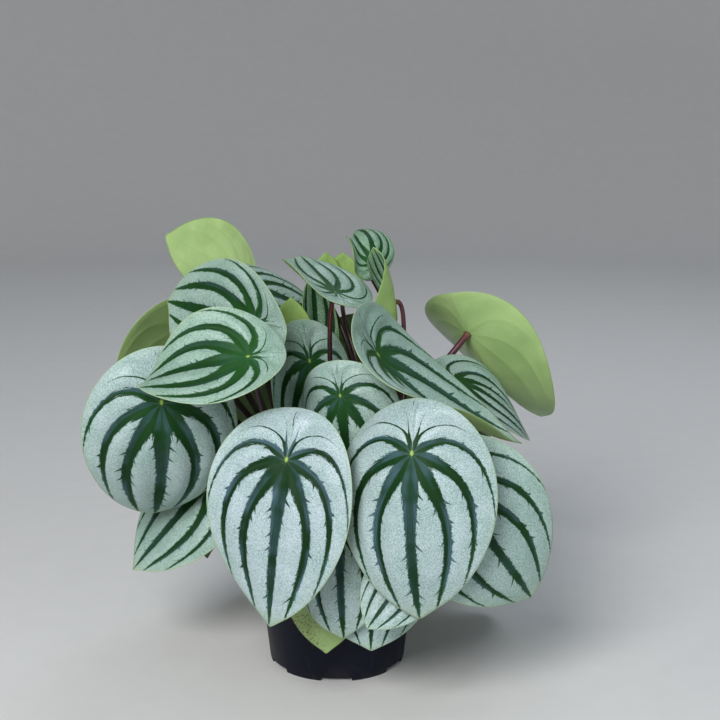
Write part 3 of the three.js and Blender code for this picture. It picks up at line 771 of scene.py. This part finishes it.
class Value:
    """A number that varies over a surface."""

    def __init__(self, finish, socket):
        self.finish = finish
        self.socket = socket

    def math(self, operation, *others):
        return self.finish.node("Math", dict(enumerate((self, *others))), operation=operation)

    def __add__(self, other):
        return self.math("ADD", other)

    __radd__ = __add__

    def __mul__(self, other):
        return self.math("MULTIPLY", other)

    __rmul__ = __mul__

    def __sub__(self, other):
        return self.math("SUBTRACT", other)

    def __rsub__(self, other):
        return -1 * self + other

    def __truediv__(self, other):
        return self.math("DIVIDE", other)

    def __pow__(self, other):
        return self.math("POWER", other)

    def __abs__(self):
        return self.math("ABSOLUTE")

    def step(self, low, high):
        """0 below low and 1 above high, smooth between; turned round if high is the smaller."""
        if high < low:
            return 1 - self.step(high, low)
        return self.finish.node("MapRange", {"Value": self, "From Min": low, "From Max": high},
                                interpolation_type="SMOOTHSTEP")

    def curve(self, *points):
        """The value of a line through (position, height) points, at this place along it."""
        start, end = points[0][0], points[-1][0]
        top = max(height for _, height in points)
        stops = [((place - start) / (end - start), (height / top,) * 3 + (1,))
                 for place, height in points]
        share = (self - start) / (end - start)
        grey = self.finish.node("ValToRGB", {0: share}, ramp=stops)
        return self.finish.node("SeparateColor", {0: grey}) * top


class Finish:
    """A material being made."""

    def __init__(self, name, **constants):
        self.material = bpy.data.materials.new(name)
        self.material.use_nodes = True
        self.nodes = self.material.node_tree.nodes
        self.links = self.material.node_tree.links
        self.shader = self.nodes["Principled BSDF"]
        for key, value in constants.items():
            self.shader.inputs[key.replace("_", " ")].default_value = value
        self.place = self.node("TexCoord", output=3)

    def node(self, kind, inputs=None, output=0, ramp=(), **settings):
        node = self.nodes.new("ShaderNode" + kind)
        for key, value in settings.items():
            setattr(node, key, value)
        if ramp:
            stops = node.color_ramp.elements
            while len(stops) < len(ramp):
                stops.new(0.5)
            for stop, (place, _) in zip(stops, ramp):
                stop.position = place
            for stop, (_, shade) in zip(stops, ramp):
                stop.color = shade
        for key, value in (inputs or {}).items():
            self.join(value, node.inputs[key])
        return Value(self, node.outputs[output])

    def join(self, value, socket):
        if isinstance(value, Value):
            self.links.new(value.socket, socket)
        else:
            socket.default_value = value

    def attribute(self, name):
        """The three numbers of one of the mesh's own attributes."""
        whole = self.node("Attribute", output=1, attribute_name=name)
        return [self.node("SeparateXYZ", {0: whole}, i) for i in range(3)]

    def vector(self, x, y, z=0):
        return self.node("CombineXYZ", {0: x, 1: y, 2: z})

    def noise(self, where, scale, detail=2, roughness=0.5):
        return self.node("TexNoise", {"Vector": where, "Scale": scale, "Detail": detail,
                                      "Roughness": roughness})

    def chance(self, where):
        """A random number from 0 to 1 for each distinct vector."""
        return self.node("TexWhiteNoise", {"Vector": where})

    def mix(self, factor, first, second, blend="MIX"):
        return self.node("Mix", {0: factor, 6: first, 7: second}, 2,
                         data_type="RGBA", blend_type=blend)

    def bump(self, height, distance, strength=1):
        return self.node("Bump", {"Height": height, "Distance": distance, "Strength": strength})

    def set(self, **inputs):
        for key, value in inputs.items():
            self.join(value, self.shader.inputs[key.replace("_", " ")])
        return self.material


def colour(red, green, blue):
    """A colour as seen on a screen, from 0 to 255 each, as the renderer's linear one."""
    def linear(part):
        part /= 255
        return part / 12.92 if part <= 0.04045 else ((part + 0.055) / 1.055) ** 2.4
    return (linear(red), linear(green), linear(blue), 1)


SILVER = colour(172, 188, 193)
SILVER_SHADE = colour(134, 160, 156)
# partly painted shade: multiplied into the silver to green it and to darken leaves that stand in
# shade
SILVER_GREEN_AND_SHADE = colour(206, 230, 192)
LIME_EDGE = colour(164, 186, 146)
YOUNG_EDGE = colour(160, 196, 104)
DARK_BAND = colour(12, 42, 18)
BRIGHT_BAND = colour(36, 80, 34)
# painted sheen: the bluish reflection painted onto the dark bands
PAINTED_SHEEN = colour(92, 120, 140)
SPECK_DARK = colour(108, 138, 134)
SPECK_PALE = colour(216, 230, 236)
HEART = colour(158, 188, 92)
UNDERSIDE = colour(172, 198, 132)
UNDERSIDE_DEEP = colour(114, 146, 84)
SHADED_UNDER = colour(104, 130, 78)
SHADED_UNDER_DEEP = colour(66, 94, 48)
BROWN_SPOTS = colour(110, 60, 42)
YOUNG_SILVER = colour(126, 158, 128)
YOUNG_SILVER_SHADE = colour(96, 134, 98)
YOUNG_UNDER = colour(160, 190, 112)
YOUNG_UNDER_DEEP = colour(110, 144, 74)
BURGUNDY = colour(92, 22, 34)
BURGUNDY_DEEP = colour(46, 12, 18)
# painted shade: near-black that stands in for the shade inside the plant
STALK_PAINTED_SHADE = colour(20, 8, 8)
STALK_TOP = colour(150, 120, 70)
NAVY = colour(11, 16, 34)
NAVY_DEEP = colour(7, 11, 26)
DUST = colour(92, 84, 74)
SCUFF = colour(120, 124, 134)
PEAT = colour(34, 24, 17)
PEAT_FIBRE = colour(78, 58, 42)
CRUMB = colour(44, 31, 22)
CRUMB_FIBRE = colour(104, 80, 58)
PAPER = colour(222, 220, 217)
PAPER_PALE = colour(228, 226, 223)


def vein_pattern(finish, wander=1):
    """The dark bands along a blade's veins, as a mask from 0 to 1, and what else
    the finishes of both faces need: the place on the flat blade and its ring."""
    number, ring, band = finish.attribute("vein")
    across, along, seed = finish.attribute("flat")
    breadth, star_size, green = finish.attribute("look")
    out = (across * across + along * along) ** 0.5
    nearest = number.math("ROUND")
    from_vein = number - nearest
    away = abs(from_vein) * band
    where = finish.vector(across, along, seed * 7.3)

    # Half width of the band: widest on the middle veins, thin on the last pair,
    # spreading to a star round the joint and closing before the edge
    width = nearest.curve((0, 2.5), (1, 2.2), (2, 1.8), (3, 1.05), (4, 0.34), (5, 0.2)) * breadth
    width *= ring.curve((0, 1.15), (0.25, 1.12), (0.5, 0.85), (0.72, 0.85), (0.9, 0.5), (1, 0.12))
    star = number.curve((0, 4.2), (1, 3.6), (2, 2.2), (3, 1.6), (4, 1.5), (5, 0.6))
    width += star * star_size * (out * -0.075).math("EXPONENT")

    # Ragged edges: coarse and fine teeth
    coarse = finish.noise(where, 0.42, 3) - 0.5
    fine = finish.noise(where, 1.9, 3) - 0.5
    fibres = finish.noise(finish.vector(number * 26, out * 0.12, seed), 1) - 0.5
    near_star = abs(out - 15).step(11, 3)
    ragged = (coarse * 1.3 + fine * 2.3) * nearest.curve((0, 1), (3, 0.8), (4, 0.35), (5, 0.3))
    ragged += fibres * near_star * 3.2

    # Spurs that leave the band at a slant, towards the tip
    side = from_vein.math("SIGN") + across.math("SIGN") * 0.31
    run = out - away * 1.15
    period = nearest.curve((0, 6.5), (1, 8), (2, 8), (4, 12), (5, 12))
    cell = run / period + seed * 0.37 + side * 0.5
    which = cell.math("FLOOR")
    luck = finish.chance(finish.vector(which, nearest + side * 3.1, seed))
    slip = finish.chance(finish.vector(which, nearest + side * 5.7, seed + 3.3))
    off_line = abs(cell - which - 0.5 + (slip - 0.5) * 0.45) * period * 0.62
    reach = nearest.curve((0, 1), (1, 0.8), (2, 0.55), (3, 0.4), (4, 0), (5, 0))
    reach *= 0.3 + luck ** 2 * 3.6
    beyond = (away - width) / reach
    spur = (1 - beyond) * (0.28 + luck * 0.3) - off_line + fine * 0.3
    spur = spur.step(-0.08, 0.1) * beyond.step(-0.3, 0)
    spur *= ring.step(0.16, 0.26) * ring.step(0.95, 0.88)

    band_mask = (width + ragged * wander - away).step(-0.22, 0.22)

    # The last pair of veins narrows and forks
    fork = 0.4 * ring.step(0.12, 0.7)
    outer = ring.curve((0, 1.5), (0.2, 1.1), (0.4, 0.5), (0.7, 0.3), (1, 0.1))
    outer -= abs(number - 4 + fork) * band
    inner = ring.curve((0, 1.5), (0.2, 1.1), (0.45, 0.2), (0.7, 0), (1, 0))
    inner -= abs(number - 4 - fork * 0.6) * band
    thin = (outer.math("MAXIMUM", inner) + coarse * 0.8).step(-0.15, 0.15)
    thin = thin * number.step(3.4, 3.6) * ring.step(0.04, 0.12) * ring.step(0.95, 0.7)
    on_fork = number.step(3.45, 3.55) * ring.step(0.1, 0.26)
    mask = (band_mask * (1 - on_fork)).math("MAXIMUM", spur).math("MAXIMUM", thin)
    return SimpleNamespace(
        mask=mask, number=number, ring=ring, from_vein=from_vein, away=away, out=out,
        across=across, along=along, where=where, coarse=coarse, green=green)


def upper_finish(name, silver, shade, edge):
    """The upper face: silver between ragged dark bands, with a thin pale edge."""
    finish = Finish(name, IOR=1.45, Specular_IOR_Level=0.12, Coat_Roughness=0.36,
                    Subsurface_Weight=0.05, Subsurface_Scale=0.003,
                    Subsurface_Radius=(0.6, 1, 0.5))
    at = vein_pattern(finish)
    grain = finish.noise(finish.place, 2100, 1)
    patch = finish.noise(at.where, 0.06, 3)

    # Silver: clouded and granular, lime towards the tip, and greener and darker on some
    # leaves, where the darkening is partly painted shade
    silver_here = finish.mix((patch * 1.6 - 0.3).step(0.1, 0.9), silver, shade)
    speckle = finish.mix(grain.step(0.4, 0.6), SPECK_DARK, SPECK_PALE)
    silver_here = finish.mix(0.42, silver_here, speckle)
    silver_here = finish.mix(at.green * 0.75, silver_here, SILVER_GREEN_AND_SHADE, "MULTIPLY")
    lime = at.ring.step(0.8, 1) * 0.1 + at.along.step(70, 84) * 0.4
    silver_here = finish.mix(lime, silver_here, edge)

    # Bands: dark, greener round the joint, with a painted sheen along one side: a bluish reflection
    # painted into the colour
    near_joint = at.out.step(34, 4)
    brightness = near_joint * (at.green * 0.5 + 0.15) + at.green * 0.45 + (at.coarse + 0.3) * 0.2
    dark_here = finish.mix(brightness, DARK_BAND, BRIGHT_BAND)
    dark_here = finish.mix(at.ring.step(0.75, 1) * 0.5, dark_here, BRIGHT_BAND)
    # painted sheen: bluish patches of reflection painted along one side of the veins
    painted_sheen = finish.noise(at.where, 0.045).step(0.38, 0.6) * (1 - at.green * 0.9)
    sheen_side = at.from_vein * at.number.curve((0, 0), (0.6, 9), (3, 9), (5, 3)) + 0.4
    painted_sheen *= sheen_side.step(0, 1)
    sheen_streak = finish.noise(finish.vector(at.number * 40, at.out * 0.1), 1)
    dark_here = finish.mix(painted_sheen * sheen_streak.step(0.2, 0.65) * 0.65, dark_here, PAINTED_SHEEN)
    both = finish.mix(at.mask, silver_here, dark_here)

    # The joint shows as a pale point with faint rays
    spot = ((at.across * 1.5) ** 2 + at.along ** 2) ** 0.5
    rays = abs(at.from_vein).step(0.12, 0.02) * at.out.step(3.5, 1.2)
    both = finish.mix(spot.step(1.7, 0.6) * 0.9 + rays * 0.3, both, HEART)
    both = finish.mix(at.ring.step(0.982, 0.999) * 0.7, both, edge)
    roughness = 0.4 + at.mask * 0.1 + (grain - 0.5) * 0.2
    height = grain * (1 - at.mask * 0.5) + finish.noise(finish.place, 420) * 0.8
    finish.set(Coat_Weight=(1 - at.mask) * 0.22)
    return finish.set(Base_Color=both, Roughness=roughness,
                      Normal=finish.bump(height, 0.00014, 0.6))


def under_finish(name, pale, deep, spots=0):
    """The underside: lime, with faint veins and the bands just showing through."""
    finish = Finish(name, IOR=1.45, Specular_IOR_Level=0.4, Subsurface_Weight=0.1,
                    Subsurface_Scale=0.003, Subsurface_Radius=(0.8, 1, 0.5))
    at = vein_pattern(finish, 0.5)
    patch = finish.noise(at.where, 0.05, 3)
    base = finish.mix((patch * 1.5 - 0.25).step(0.1, 0.9) * 0.4, pale, deep)
    base = finish.mix(at.mask * 0.04, base, deep)
    line = (0.5 - at.away).step(-0.4, 0.4) * at.ring.step(0.98, 0.3) * at.number.step(4.45, 3.9)
    base = finish.mix(line * 0.18, base, deep)
    grain = finish.noise(finish.place, 1300, 2, 0.6)
    base = finish.mix((grain - 0.4) * 0.4, base, deep)
    base = finish.mix(at.ring.step(0.98, 1) * 0.6, base, deep)
    if spots:
        fleck = finish.noise(at.where, 0.5, 3, 0.6).step(0.54, 0.62) * at.ring.step(0.6, 0.92)
        fleck *= at.across.step(4, -12) * spots
        base = finish.mix(fleck, base, BROWN_SPOTS)
    height = grain * 0.7 + finish.noise(finish.place, 380)
    return finish.set(Base_Color=base, Roughness=0.3 + (patch - 0.5) * 0.12,
                      Normal=finish.bump(height, 0.0001, 0.4))


def stalk_finish():
    """Burgundy skin with fine streaks, darkened almost to black by painted shade up to the last
    stretch before the blade, and paler at the blade.
    """
    finish = Finish("stalk_skin", Specular_IOR_Level=0.5, Subsurface_Weight=0.1,
                    Subsurface_Scale=0.002)
    share, run, seed = finish.attribute("stalk")
    streaks = finish.noise(finish.vector(seed, run * 0.05), 6, 3)
    mottle = finish.noise(finish.place, 700, 3)
    base = finish.mix((streaks * 0.6 + mottle * 0.6).step(0.3, 0.9), BURGUNDY_DEEP, BURGUNDY)
    # painted shade: the skin made almost black except near the blade
    base = finish.mix(share.step(0.96, 0.78) * 0.8, base, STALK_PAINTED_SHADE)
    base = finish.mix(share.step(0.97, 1) * 0.35, base, STALK_TOP)
    return finish.set(Base_Color=base, Roughness=0.34 + mottle * 0.15,
                      Normal=finish.bump(mottle, 0.0002, 0.4))


def pot_finish():
    """Dark navy moulded plastic, satin, with a little dust and scuffing."""
    finish = Finish("pot_plastic", Specular_IOR_Level=0.2, IOR=1.46)
    cloud = finish.noise(finish.place, 28, 4, 0.6)
    grain = finish.noise(finish.place, 1400)
    height = finish.node("SeparateXYZ", {0: finish.place}, 2)
    base = finish.mix(cloud.step(0.35, 0.75), NAVY_DEEP, NAVY)
    dust = height.step(0.016, 0) * finish.noise(finish.place, 90, 4, 0.65).step(0.42, 0.7)
    base = finish.mix(dust * 0.14, base, DUST)
    streaked = finish.node("VectorMath", {0: finish.place, 1: (1, 1, 0.12)}, operation="MULTIPLY")
    scuff = finish.noise(streaked, 240, 3).step(0.62, 0.7)
    base = finish.mix(scuff * 0.06, base, SCUFF)
    roughness = 0.42 + cloud * 0.12 + dust * 0.2
    return finish.set(Base_Color=base, Roughness=roughness,
                      Normal=finish.bump(grain * 0.5 + cloud, 0.0001, 0.25))


def soil_finish(name, dark, light):
    """Moist peat, dark, with paler fibres."""
    finish = Finish(name, Specular_IOR_Level=0.3)
    clods = finish.noise(finish.place, 260, 5, 0.7)
    grit = finish.noise(finish.place, 1500, 3, 0.6)
    base = finish.mix((clods * 0.7 + grit * 0.5).step(0.45, 0.85), dark, light)
    return finish.set(Base_Color=base, Roughness=0.95 - clods * 0.2,
                      Normal=finish.bump(clods + grit * 0.6, 0.0006, 0.8))


def floor_finish():
    finish = Finish("floor_paper", Roughness=0.85, Specular_IOR_Level=0.2)
    fibre = finish.noise(finish.place, 60, 3)
    return finish.set(Base_Color=finish.mix(fibre, PAPER, PAPER_PALE))


# ---- studio

def studio():
    """A pale floor that sweeps up to a wall all round, soft light and the camera."""
    sweep = [((BOWL_RADIUS + BOWL_BEND * math.sin(a)) / MM, BOWL_BEND * (1 - math.cos(a)) / MM)
             for a in np.radians(np.linspace(0, 90, 25))]
    body = lathe([(0, 0), (FLAT_RADIUS / MM, 0), *sweep, (sweep[-1][0], BOWL_HEIGHT / MM)], 96)
    bmesh.ops.reverse_faces(body, faces=body.faces)
    for face in body.faces:
        face.smooth = True
    floor = in_scene("floor", mesh_from(body, "floor", floor_finish()))

    world = bpy.data.worlds.new("studio")
    world.use_nodes = True
    sky = world.node_tree.nodes["Background"].inputs
    sky["Color"].default_value = SKY_TINT
    sky["Strength"].default_value = SKY_STRENGTH
    bpy.context.scene.world = world

    for name, place, size, power, tint in LAMPS:
        light = bpy.data.lights.new(name, "AREA")
        light.shape = "DISK"
        light.size = size
        light.energy = power
        light.color = tint
        lamp = in_scene(name, light)
        lamp.location = place
        aim = Vector((0, 0, AIM_HEIGHT)) - Vector(place)
        lamp.rotation_euler = aim.to_track_quat("-Z", "Y").to_euler()

    camera = bpy.data.cameras.new("camera")
    camera.lens = LENS
    camera.sensor_width = SENSOR
    camera.clip_start = 0.01
    viewer = in_scene("camera", camera)
    viewer.location = CAMERA_PLACE
    viewer.rotation_euler = (math.radians(90 - CAMERA_DIP), 0, 0)
    bpy.context.scene.camera = viewer
    bpy.context.scene.view_settings.view_transform = "Standard"


# ---- the whole plant

leaf_upper = upper_finish("leaf_upper", SILVER, SILVER_SHADE, LIME_EDGE)
leaf_under = under_finish("leaf_underside", UNDERSIDE, UNDERSIDE_DEEP)
spotted_under = under_finish("leaf_underside_spotted", UNDERSIDE, UNDERSIDE_DEEP, spots=0.9)
shaded_under = under_finish("leaf_underside_shaded", SHADED_UNDER, SHADED_UNDER_DEEP)
young_upper = upper_finish("young_leaf_upper", YOUNG_SILVER, YOUNG_SILVER_SHADE, YOUNG_EDGE)
young_under = under_finish("young_leaf_underside", YOUNG_UNDER, YOUNG_UNDER_DEEP)

for number, leaf in enumerate(LEAVES):
    name = leaf[0]
    young = name.startswith("young")
    shown = young or number < SHOWN_COUNT
    upper, under = (young_upper, young_under) if young else (leaf_upper, leaf_under)
    if name == "leaf_18":
        under = spotted_under
    elif not shown:
        under = shaded_under
    rings, columns = SHOWN_GRID if shown else HIDDEN_GRID
    look = LOOKS.get(name, YOUNG_LOOK if young else PLAIN_LOOK)
    seed = number * LEAF_SEED_STEP
    mesh = blade_mesh(name + "_blade", leaf, rings, columns, seed, look, upper, under)
    add_piece(name + "_blade", mesh, "young_leaf" if young else "leaf", name)

skin = stalk_finish()
add_piece("stalks", stalks_mesh(LEAVES, skin), "stalk", "stems")
add_piece("crown", crown_mesh(skin), "stalk", "stems")
add_piece("pot_body", pot_mesh(pot_finish()), "pot", "pot")
bed = soil_mesh(soil_finish("peat", PEAT, PEAT_FIBRE))
add_piece("soil_bed", bed, "soil", "soil")
crumbs = crumbs_mesh(bed, soil_finish("crumb", CRUMB, CRUMB_FIBRE))
add_piece("soil_crumbs", crumbs, "soil", "soil")

studio()
